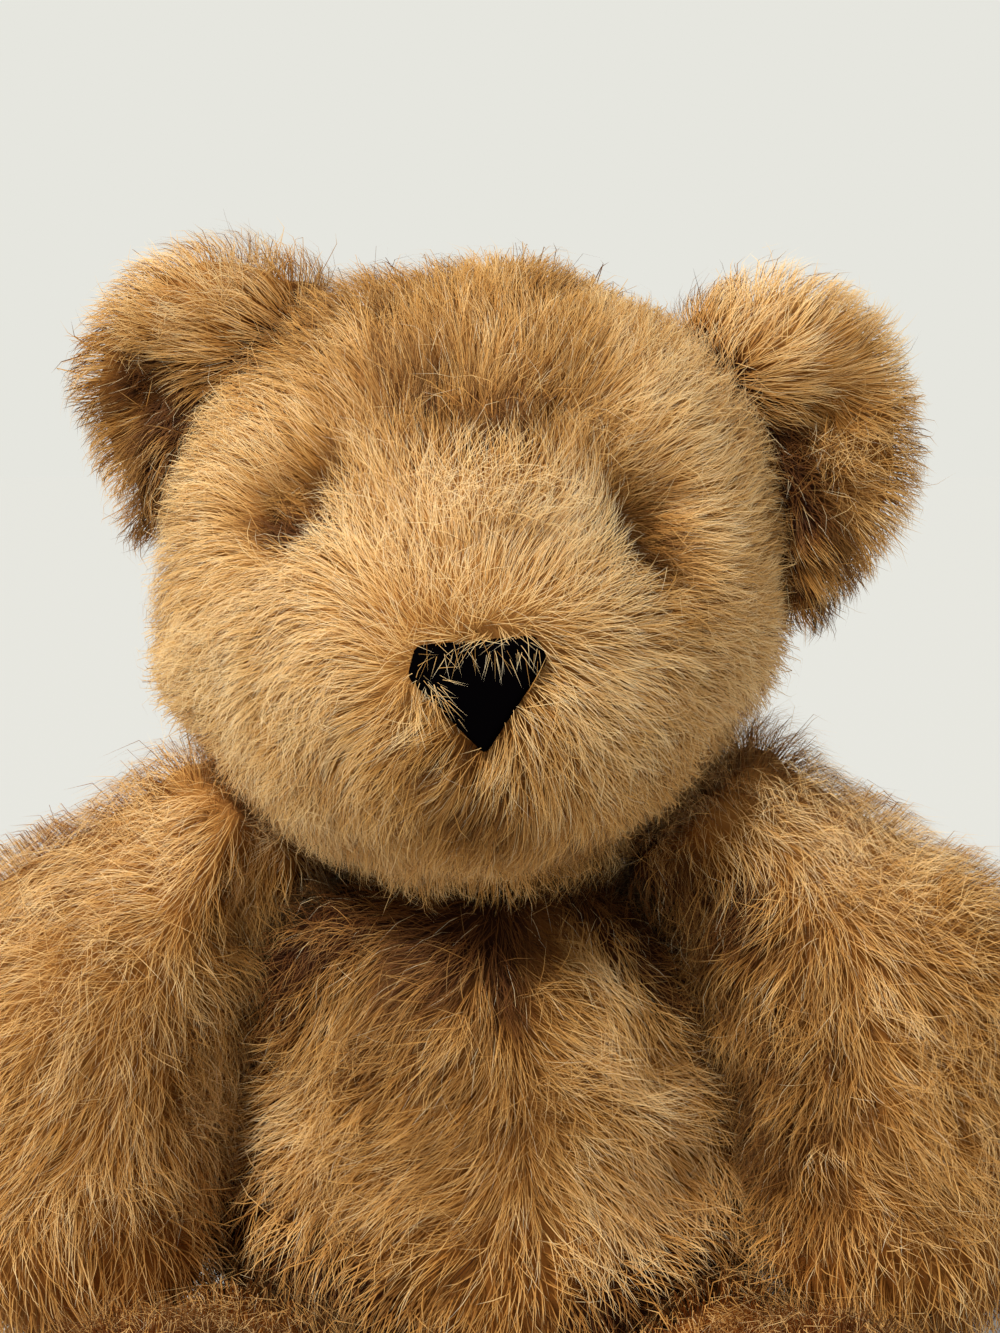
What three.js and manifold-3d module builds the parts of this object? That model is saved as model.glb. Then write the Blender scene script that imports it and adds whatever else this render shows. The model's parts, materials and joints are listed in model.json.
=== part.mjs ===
// A seated plush bear: panels of long pile fabric sewn over loose fibre stuffing.
// Millimetres, +Z up. The bear faces -Y and its own left side is +X. The origin is the middle of
// the model's box, on the surface that the bear sits on.
// Each fabric panel is drawn as thick as its backing and its lying pile together, so its outside
// is where the bulk of the fur ends.
import * as THREE from 'three';
import { mergeVertices } from 'three/addons/utils/BufferGeometryUtils.js';
import Module from 'manifold-3d';

const wasm = await Module();
wasm.setup();

// Fabric and stuffing.
const pile = 8;
const gap = 0.3;
const seatPress = 5;

// How finely a form is faceted: each step up adds facets along its edges.
const headFacets = 6;
const bodyFacets = 5;
const limbFacets = 4;
const cavityFacets = 4;
const limbCavityFacets = 3;

// Head: a crown, and wide jowls whose stuffing has slumped to the bear's right.
const crownWidth = 140;
const crownHeight = 128;
const crownDepth = 122;
const crownShift = 0;
const crownRise = 8;
const jowlWidth = 147;
const jowlHeight = 104;
const jowlDepth = 118;
const jowlSlump = 6;
const jowlDrop = 22;
const headBlend = 30;
const headRoll = 4;
const chinOverlap = 13;

// Muzzle.
const muzzleWidth = 100;
const muzzleHeight = 88;
const muzzleReach = 20;
const muzzleDrop = 24;
const muzzleBlend = 18;
const muzzlePanelWidth = 86;
const muzzlePanelHeight = 104;
const muzzlePanelDrop = 19;
const gussetWidth = 54;
const napeDrop = 44;
const neckOpening = 52;
const eyeHollowDepth = 5;
const eyeHollowSize = 11;
const eyeSpacing = 77;
const eyeShift = 3;
const eyeRise = 13;

// Nose pad.
const noseWidth = 28;
const noseHeight = 22;
const noseThickness = 5;
const noseCorner = 3;
const noseDrop = 22;
const noseTurn = 5;

// Ears: two fabric layers each, cupped forward.
const earWidth = 67;
const earHeight = 74;
const earStretch = 16;
const earSag = 4;
const earThickness = 25;
const earDome = 40;
const earCup = 58;
const earInset = 3;
const earRise = 35.5;
const earBack = 6;

// Body.
const hipWidth = 130;
const chestWidth = 106;
const bodyDepth = 108;
const chestDepth = 90;
const bodyHeight = 171;
const hipRise = 60;
const chestDrop = 52;
const hipSetBack = 4;
const chestSetBack = 2;
const bodyBlend = 20;
const frontSeamLean = 7;

// Arms: radius at the shoulder, elbow and paw, and the offsets between those points.
const shoulderRadius = 36;
const elbowRadius = 40;
const pawRadius = 38;
const shoulderIn = 1;
const armSeamTilt = 24;
const shoulderDrop = 11;
const upperArm = new THREE.Vector3(44, -8, -34);
const forearm = new THREE.Vector3(4, -12, -49);

// Legs: laid forward on the seat surface and turned outward.
const legRadius = 36;
const legLength = 112;
const legSplay = 17;
const hipIn = 24;
const footWidth = 72;
const footHeight = 92;
const footDepth = 44;
const footBlend = 14;
const soleWidth = 58;
const soleHeight = 74;
const soleThickness = 4;

// Places that follow from the sizes above.
const headDrop = jowlDrop + jowlHeight / 2;
const headCentre = new THREE.Vector3(0, 0, bodyHeight - chinOverlap + headDrop);
const crownCentre = new THREE.Vector3(crownShift, 0, crownRise);
const jowlCentre = new THREE.Vector3(-jowlSlump, 0, -jowlDrop);
const hipCentre = new THREE.Vector3(0, hipSetBack, hipRise);
const chestCentre = new THREE.Vector3(0, chestSetBack, bodyHeight - chestDrop);
const muzzleFront = crownDepth / 2 + muzzleReach;
const muzzleCentre = new THREE.Vector3(0, muzzleHeight / 2 - muzzleFront, -muzzleDrop);
const roll = THREE.MathUtils.degToRad(headRoll);
const splay = THREE.MathUtils.degToRad(legSplay);
const seamLean = THREE.MathUtils.degToRad(frontSeamLean);

// Longer than anything in the bear, for planes and cutters.
const far = 600;

const fur = { roughness: 0.95, metalness: 0 };
const golden = new THREE.MeshStandardMaterial({ color: 0xb9854a, ...fur });
const honey = new THREE.MeshStandardMaterial({ color: 0xc99a5c, ...fur });
const brown = new THREE.MeshStandardMaterial({ color: 0xa06c36, ...fur });
const velvet = new THREE.MeshStandardMaterial({ color: 0x0b0908, roughness: 0.9, metalness: 0 });
const solePlush = new THREE.MeshStandardMaterial({ color: 0xb48a5a, ...fur });
const fibre = new THREE.MeshStandardMaterial({ color: 0xe9e4d8, roughness: 1, metalness: 0 });

// Distance fields: each takes a point and gives about how far outside the shape it is.
function ellipsoid(centre, width, depth, height) {
  const radii = new THREE.Vector3(width / 2, depth / 2, height / 2);
  return (point) => {
    const p = point.clone().sub(centre).divide(radii);
    const near = p.length();
    const slope = p.divide(radii).length();
    return slope < 1e-9 ? -Math.min(radii.x, radii.y, radii.z) : (near * (near - 1)) / slope;
  };
}

function taperedRod(from, to, radiusFrom, radiusTo) {
  const along = to.clone().sub(from);
  return (point) => {
    const p = point.clone().sub(from);
    const share = THREE.MathUtils.clamp(p.dot(along) / along.lengthSq(), 0, 1);
    return p.addScaledVector(along, -share).length() - THREE.MathUtils.lerp(radiusFrom, radiusTo, share);
  };
}

function blend(first, second, reach) {
  return (point) => {
    const a = first(point);
    const b = second(point);
    const mix = Math.max(reach - Math.abs(a - b), 0) / reach;
    return Math.min(a, b) - (mix * mix * reach) / 4;
  };
}

function dented(form, centre, size, depth) {
  return (point) => form(point) + depth * Math.exp(-point.distanceToSquared(centre) / (size * size));
}

// The closed surface of a field at a depth under it, as a ball of facets drawn out from a centre.
function skin(form, centre, facets, depth = 0) {
  const ball = new THREE.IcosahedronGeometry(1, facets);
  const places = ball.getAttribute('position');
  const ray = new THREE.Vector3();
  for (let i = 0; i < places.count; i += 1) {
    ray.fromBufferAttribute(places, i).normalize();
    let inside = 0;
    let outside = far;
    for (let halving = 0; halving < 40; halving += 1) {
      const middle = (inside + outside) / 2;
      const point = centre.clone().addScaledVector(ray, middle);
      if (form(point) < -depth) inside = middle;
      else outside = middle;
    }
    places.setXYZ(i, ...centre.clone().addScaledVector(ray, inside).toArray());
  }
  return solid(ball);
}

function solid(geometry, matrix = new THREE.Matrix4()) {
  const plain = geometry.clone().applyMatrix4(matrix);
  plain.deleteAttribute('normal');
  plain.deleteAttribute('uv');
  const merged = mergeVertices(plain, 1e-4);
  return new wasm.Manifold(new wasm.Mesh({
    numProp: 3,
    vertProperties: new Float32Array(merged.getAttribute('position').array),
    triVerts: new Uint32Array(merged.index.array),
  }));
}

// The part of a body on the side of a plane that its normal points to, kept clear of the plane.
function side(body, point, normal) {
  const clear = point.clone().addScaledVector(normal, gap / 2 + far / 2);
  const turn = new THREE.Quaternion().setFromUnitVectors(new THREE.Vector3(0, 0, 1), normal);
  const half = new THREE.Matrix4().compose(clear, turn, new THREE.Vector3(1, 1, 1));
  return body.intersect(solid(new THREE.BoxGeometry(far * 2, far * 2, far), half));
}

function box(width, depth, height, centre) {
  const place = new THREE.Matrix4().makeTranslation(centre.x, centre.y, centre.z);
  return solid(new THREE.BoxGeometry(width, depth, height), place);
}

const bear = new THREE.Group();

function add(name, body, material) {
  const largest = body.decompose().sort((a, b) => b.volume() - a.volume())[0];
  const cut = largest.getMesh();
  const geometry = new THREE.BufferGeometry();
  geometry.setAttribute('position', new THREE.BufferAttribute(cut.vertProperties, 3));
  geometry.setIndex(new THREE.BufferAttribute(cut.triVerts, 1));
  const mesh = new THREE.Mesh(geometry, material);
  mesh.name = name;
  bear.add(mesh);
}

const left = new THREE.Vector3(1, 0, 0);
const right = new THREE.Vector3(-1, 0, 0);
const front = new THREE.Vector3(0, -1, 0);
const back = new THREE.Vector3(0, 1, 0);
const up = new THREE.Vector3(0, 0, 1);
const floor = new THREE.Vector3(0, 0, -gap / 2);
const sides = [['left', 1], ['right', -1]];

// The head's own axes: it leans to the bear's left, about the head's centre.
const headFrame = new THREE.Matrix4().makeRotationY(roll).setPosition(headCentre);
const toHead = headFrame.clone().invert();

function inHead(form) {
  return (point) => form(point.clone().applyMatrix4(toHead));
}

function headPoint(x, y, z) {
  return new THREE.Vector3(x, y, z).applyMatrix4(headFrame);
}

// How far forward a form reaches at a place on its front.
function frontOf(form, x, z) {
  let y = 0;
  while (form(new THREE.Vector3(x, y, z)) < 0) y -= gap;
  return y;
}

const middle = new THREE.Vector3();
const crown = ellipsoid(crownCentre, crownWidth, crownDepth, crownHeight);
const jowls = ellipsoid(jowlCentre, jowlWidth, jowlDepth, jowlHeight);
const snout = ellipsoid(muzzleCentre, muzzleWidth, muzzleHeight, muzzleHeight);
let face = blend(blend(crown, jowls, headBlend), snout, muzzleBlend);
for (const [, way] of sides) {
  const x = (way * eyeSpacing) / 2 - eyeShift;
  const hollow = new THREE.Vector3(x, frontOf(face, x, eyeRise), eyeRise);
  face = dented(face, hollow, eyeHollowSize, eyeHollowDepth);
}
const head = inHead(face);

const body = blend(
  ellipsoid(hipCentre, hipWidth, bodyDepth, 2 * (hipRise + seatPress)),
  ellipsoid(chestCentre, chestWidth, chestDepth, 2 * chestDrop),
  bodyBlend,
);

const headClear = skin(head, headCentre, headFacets, -gap);
const bodyMiddle = hipCentre.clone().lerp(chestCentre, 0.5);
const bodyClear = skin(body, bodyMiddle, bodyFacets, -gap);

// Head: a gusset from the muzzle over the crown to the nape, two sides that meet under the chin,
// and a muzzle closed by a seam below the nose.
function buildHead() {
  const outside = skin(head, headCentre, headFacets);
  const cavity = skin(head, headCentre, cavityFacets, pile);
  const neck = (radius) => {
    const tube = new THREE.CylinderGeometry(radius, radius, headDrop, 20);
    const place = new THREE.Matrix4().makeRotationX(Math.PI / 2).setPosition(headPoint(0, 0, -headDrop));
    return solid(tube, place);
  };
  const shell = outside.subtract(cavity).subtract(neck(neckOpening / 2));

  const padFront = frontOf(face, 0, -noseDrop);
  add('nose', nosePad(0, padFront), velvet);

  const seamLength = noseHeight + muzzlePanelHeight;
  const seamMiddle = headPoint(0, -far / 2, -noseDrop - seamLength / 2);
  const muzzle = shell
    .intersect(muzzlePanel(-gap / 2))
    .subtract(nosePad(gap, padFront))
    .subtract(box(gap, far, seamLength, seamMiddle));
  add('muzzle', muzzle, honey);

  const rest = shell.subtract(muzzlePanel(gap / 2));
  add('head_gusset', rest.intersect(gussetStrip(-gap / 2)), golden);
  const flanks = rest.subtract(gussetStrip(gap / 2));
  const across = left.clone().transformDirection(headFrame);
  add('head_side_left', side(flanks, headCentre, across), honey);
  add('head_side_right', side(flanks, headCentre, across.clone().negate()), honey);

  const neckFill = neck(neckOpening / 2 - gap).intersect(outside);
  add('head_stuffing', skin(head, headCentre, cavityFacets, pile + gap).add(neckFill), fibre);
}

function muzzlePanel(grow) {
  const ring = new THREE.CylinderGeometry(1, 1, far, 36);
  const halfWidth = muzzlePanelWidth / 2 + grow;
  const halfHeight = muzzlePanelHeight / 2 + grow;
  const place = headFrame.clone()
    .multiply(new THREE.Matrix4().makeTranslation(0, -far / 2, -muzzlePanelDrop))
    .multiply(new THREE.Matrix4().makeScale(halfWidth, 1, halfHeight));
  return solid(ring, place);
}

function gussetStrip(grow) {
  const height = napeDrop + crownHeight;
  const strip = new THREE.BoxGeometry(gussetWidth + 2 * grow, far, height + 2 * grow);
  const place = headFrame.clone()
    .multiply(new THREE.Matrix4().makeTranslation(0, 0, height / 2 - napeDrop));
  return solid(strip, place);
}

// The nose is a triangle of velvet with its point down, let into the pile of the muzzle.
function nosePad(grow, faceY) {
  const halfWidth = noseWidth / 2 + grow;
  const top = noseHeight / 2 + grow;
  const rise = noseCorner * (noseHeight / noseWidth);
  const outline = new THREE.Shape();
  outline.moveTo(noseCorner - halfWidth, top);
  outline.lineTo(halfWidth - noseCorner, top);
  outline.quadraticCurveTo(halfWidth, top, halfWidth - noseCorner / 2, top - rise);
  outline.lineTo(noseCorner / 2, rise - top);
  outline.quadraticCurveTo(0, -top, -noseCorner / 2, rise - top);
  outline.lineTo(noseCorner / 2 - halfWidth, top - rise);
  outline.quadraticCurveTo(-halfWidth, top, noseCorner - halfWidth, top);
  const depth = noseThickness + 2 * grow;
  const pad = new THREE.ExtrudeGeometry(outline, { depth, bevelEnabled: false, curveSegments: 4 });
  const place = headFrame.clone()
    .multiply(new THREE.Matrix4().makeTranslation(0, faceY + noseThickness + grow, -noseDrop))
    .multiply(new THREE.Matrix4().makeRotationY(-THREE.MathUtils.degToRad(noseTurn)))
    .multiply(new THREE.Matrix4().makeRotationX(Math.PI / 2));
  return solid(pad, place);
}

// Ears: a front and a back layer of fabric each, sewn round the rim and cupped forward. The left
// one has stretched and hangs lower.
function buildEars() {
  for (const [name, way] of sides) {
    const height = way > 0 ? earHeight + earStretch : earHeight;
    const rise = way > 0 ? earRise - earSag : earRise;
    const centre = new THREE.Vector3(way * (crownWidth / 2 - earInset), earBack, rise);
    const focus = centre.clone().add(new THREE.Vector3(0, -earCup, 0));
    const disc = ellipsoid(centre, earWidth, earDome, height);
    const layer = (point) => Math.abs(point.distanceTo(focus) - earCup) - earThickness / 2;
    const cupped = (point) => -blend((p) => -disc(p), (p) => -layer(p), pile)(point);
    const middleOfEar = centre.clone().applyMatrix4(headFrame);
    const whole = skin(inHead(cupped), middleOfEar, limbFacets).subtract(headClear);
    const bowl = (radius) => {
      const place = headFrame.clone().multiply(new THREE.Matrix4().makeTranslation(...focus));
      return solid(new THREE.SphereGeometry(radius, 32, 24), place);
    };
    add(`ear_${name}_front`, whole.intersect(bowl(earCup - gap / 2)), golden);
    add(`ear_${name}_back`, whole.subtract(bowl(earCup + gap / 2)), brown);
  }
}

// Body: four panels, with the front seam pulled to one side, round one mass of stuffing.
function buildBody() {
  const outside = side(skin(body, bodyMiddle, bodyFacets), floor, up).subtract(headClear);
  const shell = outside.subtract(skin(body, bodyMiddle, cavityFacets, pile));
  const frontHalf = side(shell, hipCentre, front);
  const backHalf = side(shell, hipCentre, back);
  const neck = new THREE.Vector3(0, 0, bodyHeight);
  const leaning = left.clone().applyAxisAngle(new THREE.Vector3(0, 1, 0), -seamLean);
  add('body_front_left', side(frontHalf, neck, leaning), brown);
  add('body_front_right', side(frontHalf, neck, leaning.clone().negate()), brown);
  add('body_back_left', side(backHalf, neck, left), golden);
  add('body_back_right', side(backHalf, neck, right), golden);
  add('body_stuffing', skin(body, bodyMiddle, cavityFacets, pile + gap).subtract(headClear), fibre);
}

// Arms: an outer and an inner panel, sewn round the edge and into the shoulder seam.
function armField(way) {
  const turn = new THREE.Vector3(way, 1, 1);
  const shoulder = new THREE.Vector3(chestWidth / 2 - shoulderIn, 0, bodyHeight - shoulderDrop);
  const elbow = shoulder.clone().add(upperArm);
  const paw = elbow.clone().add(forearm);
  const points = [shoulder, elbow, paw].map((point) => point.multiply(turn));
  const upper = taperedRod(points[0], points[1], shoulderRadius, elbowRadius);
  const lower = taperedRod(points[1], points[2], elbowRadius, pawRadius);
  return { form: blend(upper, lower, pile), elbow: points[1] };
}

function buildArms() {
  for (const [name, way] of sides) {
    const { form, elbow } = armField(way);
    const trim = (part) => part.subtract(bodyClear).subtract(headClear);
    const shell = trim(skin(form, elbow, limbFacets)).subtract(
      skin(form, elbow, limbCavityFacets, pile));
    const tilt = THREE.MathUtils.degToRad(armSeamTilt);
    const outward = new THREE.Vector3(way * Math.cos(tilt), 0, Math.sin(tilt));
    add(`arm_${name}_outer`, side(shell, elbow, outward), golden);
    add(`arm_${name}_inner`, side(shell, elbow, outward.clone().negate()), golden);
    add(`arm_${name}_stuffing`, trim(skin(form, elbow, limbCavityFacets, pile + gap)), fibre);
  }
}

// Legs: an outer and an inner panel with an oval sole, lying forward on the seat surface.
function buildLegs() {
  for (const [name, way] of sides) {
    const hip = new THREE.Vector3(way * (hipWidth / 2 - hipIn), 0, legRadius - seatPress);
    const frame = new THREE.Matrix4().makeRotationZ(way * splay).setPosition(hip);
    const toLeg = frame.clone().invert();
    const ankle = new THREE.Vector3(0, -legLength, 0);
    const foot = new THREE.Vector3(0, -legLength, footHeight / 2 - legRadius);
    const shank = taperedRod(middle, ankle, legRadius, legRadius);
    const flesh = blend(shank, ellipsoid(foot, footWidth, footDepth * 2, footHeight), footBlend);
    const form = (point) => flesh(point.clone().applyMatrix4(toLeg));
    const knee = new THREE.Vector3(0, -legLength / 2, 0).applyMatrix4(frame);
    const forward = front.clone().transformDirection(frame);
    const outward = left.clone().multiplyScalar(way).transformDirection(frame);
    const toe = foot.clone().add(new THREE.Vector3(0, -footDepth / 2, 0)).applyMatrix4(frame);
    const arm = armField(way);
    const arms = skin(arm.form, arm.elbow, limbFacets, -gap);
    const trim = (part) => side(part, floor, up).subtract(bodyClear).subtract(arms);
    const uncut = trim(skin(form, knee, limbFacets)).subtract(
      skin(form, knee, limbCavityFacets, pile));
    const shell = side(uncut, toe, forward.clone().negate());
    add(`leg_${name}_outer`, side(shell, knee, outward), golden);
    add(`leg_${name}_inner`, side(shell, knee, outward.clone().negate()), golden);

    const disc = new THREE.CylinderGeometry(1, 1, soleThickness, 32);
    const soleCentre = toe.clone().addScaledVector(forward, gap / 2 + soleThickness / 2);
    const turn = new THREE.Matrix4().makeRotationZ(way * splay).setPosition(soleCentre);
    const oval = new THREE.Matrix4().makeScale(soleWidth / 2, 1, soleHeight / 2);
    add(`sole_${name}`, side(solid(disc, turn.multiply(oval)), floor, up), solePlush);

    const stuffing = trim(skin(form, knee, limbCavityFacets, pile + gap));
    add(`leg_${name}_stuffing`, side(stuffing, toe, forward.clone().negate()), fibre);
  }
}

buildHead();
buildEars();
buildBody();
buildArms();
buildLegs();

// The origin goes to the middle of the box, on the seat surface.
const bounds = new THREE.Box3().setFromObject(bear);
const boxMiddle = bounds.getCenter(new THREE.Vector3());
bear.position.set(-boxMiddle.x, -boxMiddle.y, 0);

export default bear;
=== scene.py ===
import json
import math
import bpy
import numpy as np
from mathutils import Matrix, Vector
from mathutils.bvhtree import BVHTree
from mathutils.kdtree import KDTree

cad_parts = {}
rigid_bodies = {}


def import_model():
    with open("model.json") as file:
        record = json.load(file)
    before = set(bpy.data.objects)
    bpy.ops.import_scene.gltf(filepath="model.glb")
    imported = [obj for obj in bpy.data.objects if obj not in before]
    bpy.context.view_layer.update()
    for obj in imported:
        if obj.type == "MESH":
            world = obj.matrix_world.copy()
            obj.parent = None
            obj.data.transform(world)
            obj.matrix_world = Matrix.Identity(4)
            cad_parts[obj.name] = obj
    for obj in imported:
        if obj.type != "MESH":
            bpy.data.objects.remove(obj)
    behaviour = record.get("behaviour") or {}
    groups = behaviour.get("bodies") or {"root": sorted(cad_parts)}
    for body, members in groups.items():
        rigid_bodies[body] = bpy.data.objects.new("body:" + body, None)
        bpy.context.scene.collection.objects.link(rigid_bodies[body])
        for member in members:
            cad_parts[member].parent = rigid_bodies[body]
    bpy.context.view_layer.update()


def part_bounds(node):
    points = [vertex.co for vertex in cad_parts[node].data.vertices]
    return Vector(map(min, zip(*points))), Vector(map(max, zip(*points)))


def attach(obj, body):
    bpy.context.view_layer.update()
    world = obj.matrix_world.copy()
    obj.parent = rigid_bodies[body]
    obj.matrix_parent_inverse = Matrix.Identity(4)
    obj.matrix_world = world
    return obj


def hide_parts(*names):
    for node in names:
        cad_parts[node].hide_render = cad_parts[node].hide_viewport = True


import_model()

# The view: a portrait of the bear's head and chest, from a little above its eyes. The whole bear
# sits on the floor; its legs and seat are below the picture.
view_distance = 0.6
view_height = 8
view_scale = 4.6e3
head_middle_y = 0.0376
aim = Vector((0.003, head_middle_y, 0.206))
bpy.ops.object.select_all(action="DESELECT")
bpy.ops.object.camera_add(rotation=(math.radians(90 - view_height), 0, 0))
camera = bpy.context.object
camera.data.sensor_fit = "VERTICAL"
camera.data.sensor_height = 36
camera.data.lens = 36 * view_scale * (view_distance - 0.06) / 1333
slope = math.radians(view_height)
camera.location = aim + view_distance * Vector((0, -math.cos(slope), math.sin(slope)))
bpy.context.scene.camera = camera


# The head: four panels of long pile fabric, sewn together inside out, turned, and stuffed hard
# with loose fibre. The cloth lies under the pile, so each form is drawn in from the outside of
# the fur by the height that the pile stands to.
pile_height = 0.0075


def part_box(nodes):
    low = np.min([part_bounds(node)[0] for node in nodes], axis=0)
    high = np.max([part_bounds(node)[1] for node in nodes], axis=0)
    return low, high


def sewn_form(name, nodes, mesh_size, depth):
    bpy.ops.object.select_all(action="DESELECT")
    copies = []
    for node in nodes:
        copy = bpy.data.objects[node].copy()
        copy.data = copy.data.copy()
        copy.name = name
        for key in list(copy.keys()):
            del copy[key]
        copy.parent = None
        bpy.context.collection.objects.link(copy)
        copy.hide_render = False
        copy.hide_set(False)
        copy.select_set(True)
        copies.append(copy)
    form = copies[0]
    bpy.context.view_layer.objects.active = form
    bpy.ops.object.join()
    form.data.materials.clear()
    bpy.ops.object.mode_set(mode="EDIT")
    bpy.ops.mesh.select_all(action="SELECT")
    bpy.ops.mesh.remove_doubles(threshold=1e-5)
    bpy.ops.object.mode_set(mode="OBJECT")
    for size, inset in ((mesh_size * 0.8, depth), (mesh_size, 0)):
        remesh = form.modifiers.new("remesh", "REMESH")
        remesh.mode = "VOXEL"
        remesh.voxel_size = size
        bpy.ops.object.modifier_apply(modifier=remesh.name)
        smooth = form.modifiers.new("smooth", "SMOOTH")
        smooth.factor = 0.6
        smooth.iterations = 5
        bpy.ops.object.modifier_apply(modifier=smooth.name)
        if inset:
            draw_in = form.modifiers.new("draw in", "DISPLACE")
            draw_in.strength = -inset
            draw_in.mid_level = 0
            bpy.ops.object.modifier_apply(modifier=draw_in.name)
    bpy.ops.object.mode_set(mode="EDIT")
    bpy.ops.mesh.select_all(action="SELECT")
    bpy.ops.mesh.quads_convert_to_tris()
    bpy.ops.object.mode_set(mode="OBJECT")
    form.name = name
    return form


def numbers(items, name, width=3, kind=np.float64):
    found = np.empty(len(items) * width, kind)
    items.foreach_get(name, found)
    return found.reshape(-1, width) if width > 1 else found


def nearest_panel(form, panels):
    """For each face of the form, which of the panels lies nearest."""
    middles = numbers(form.data.polygons, "center")
    best = np.full(len(middles), np.inf)
    owner = np.zeros(len(middles), int)
    for number, panel in enumerate(panels):
        mesh = bpy.data.objects[panel].data
        tree = BVHTree.FromPolygons([v.co for v in mesh.vertices], [p.vertices for p in mesh.polygons])
        away = np.array([tree.find_nearest(middle)[3] for middle in middles.tolist()])
        owner[away < best] = number
        best = np.minimum(best, away)
    return owner


def stuff(form, owner, swell):
    """Fills the form: a cloth simulation under pressure, held at the seams between panels."""
    faces = numbers(form.data.polygons, "vertices", 3, np.int32)
    lowest = np.full(len(form.data.vertices), 99)
    highest = np.full(len(form.data.vertices), -1)
    for corner in range(3):
        np.minimum.at(lowest, faces[:, corner], owner)
        np.maximum.at(highest, faces[:, corner], owner)
    seams = form.vertex_groups.new(name="seams")
    seams.add(np.flatnonzero(lowest != highest).tolist(), 1.0, "REPLACE")
    before = numbers(form.data.vertices, "co")
    cloth = form.modifiers.new("cloth", "CLOTH")
    cloth.settings.use_pressure = True
    cloth.settings.uniform_pressure_force = 4
    cloth.settings.effector_weights.gravity = 0
    cloth.settings.vertex_group_mass = seams.name
    for moment in range(1, 21):
        bpy.context.scene.frame_set(moment)
    bpy.ops.object.select_all(action="DESELECT")
    form.select_set(True)
    bpy.context.view_layer.objects.active = form
    bpy.ops.object.modifier_apply(modifier=cloth.name)
    bpy.context.scene.frame_set(1)
    move = numbers(form.data.vertices, "co") - before
    far = np.linalg.norm(move, axis=1, keepdims=True)
    move *= np.minimum(1, swell / np.maximum(far, 1e-9))
    form.data.vertices.foreach_set("co", (before + move).ravel())
    form.data.update()


# The pile: long straight hairs, woven into the cloth, that lean the way the nap runs on each
# panel. Wear has matted them into locks that swirl and part.
def wander(places, size, seed):
    """Smooth noise from -1 to 1 over places in space, with lumps of about the given size."""
    draw = np.random.default_rng(seed)
    total = np.zeros(len(places))
    for _ in range(9):
        way = draw.normal(size=3)
        way /= np.linalg.norm(way)
        wave = 2 * math.pi / (size * draw.uniform(0.7, 1.6))
        total += np.sin(places @ way * wave + draw.uniform(0, 2 * math.pi))
    return total / 3


def turned(ways, axes, angles):
    cosine = np.cos(angles)[:, None]
    sine = np.sin(angles)[:, None]
    return ways * cosine + np.cross(axes, ways) * sine


def unit(ways):
    return ways / np.maximum(np.linalg.norm(ways, axis=1, keepdims=True), 1e-9)


def hair_line(root, normal, way, length, lift, round_size, joints):
    """The points of each hair: up out of the cloth, then over and along the nap."""
    points = [root]
    steps = joints - 1
    steepness = np.linspace(62, 2, steps)
    run = np.zeros(len(root))
    for step in range(steps):
        rise = np.radians(np.clip(steepness[step] * lift, -10, 80))[:, None]
        stride = (length / steps)[:, None]
        points.append(points[-1] + stride * (way * np.cos(rise) + normal * np.sin(rise)))
        run += stride[:, 0] * np.cos(rise[:, 0])
        points[-1] = points[-1] - normal * ((run**2 - (run - stride[:, 0]) ** 2) / (2 * round_size))[:, None]
    return np.stack(points, 1)


def nap_at(roots, normals, strokes, fall):
    """Which way the nap runs at each root, how high it stands, how pale it is and its share of length. How
    pale holds painted light and shade as well as the pile's own colour.
    """
    away, lift, tone = fall[0:3], fall[3], fall[4]
    outer = roots + normals * 0.006  # strokes and spots of painted light and shade are placed on the outside of the fur
    ways = np.tile(np.array(away, float), (len(roots), 1)) * 0.02
    weight = np.full(len(roots), 0.02)
    lifts = np.full(len(roots), lift * 0.02)
    tones_and_shading = np.full(len(roots), tone * 0.02)
    for place, way, stroke_lift, stroke_tone_and_shading, reach, force in strokes:
        if way is None:
            continue
        near = force * np.exp(-(((outer - place) / reach) ** 2).sum(1))
        ways += near[:, None] * way
        lifts += near * stroke_lift
        tones_and_shading += near * stroke_tone_and_shading
        weight += near
    ways /= weight[:, None]
    ways = unit(ways - normals * (ways * normals).sum(1)[:, None])
    tones_and_shading /= weight
    shares = np.ones(len(roots))
    shown = outer + ways * 0.005
    # Spots of painted shade and painted light: the pile is darker or paler there, and shorter or longer.
    for place, way, _, change, reach, force in strokes:
        if way is None:
            near = np.exp(-(((shown - place) / reach) ** 2).sum(1))
            tones_and_shading += near * change
            shares *= 1 - near * (1 - force)
    return ways, lifts / weight, tones_and_shading, shares


def sown(mesh, faces, density, draw):
    """Roots over these faces: the face and the two shares that place each one on it."""
    places = numbers(mesh.vertices, "co")
    corners = numbers(mesh.polygons, "vertices", 3, np.int32)[faces]
    sides = places[corners]
    area = np.linalg.norm(np.cross(sides[:, 1] - sides[:, 0], sides[:, 2] - sides[:, 0]), axis=1) / 2
    count = np.floor(area * density + draw.random(len(faces))).astype(int)
    owner = np.repeat(np.arange(len(faces)), count)
    first = draw.random(len(owner))
    second = draw.random(len(owner))
    folded = first + second > 1
    first[folded], second[folded] = 1 - first[folded], 1 - second[folded]
    return corners[owner], first, second, owner


def on_mesh(values, corners, first, second):
    a, b, c = (values[corners[:, i]] for i in range(3))
    return a + (b - a) * first[:, None] + (c - a) * second[:, None]


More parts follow.
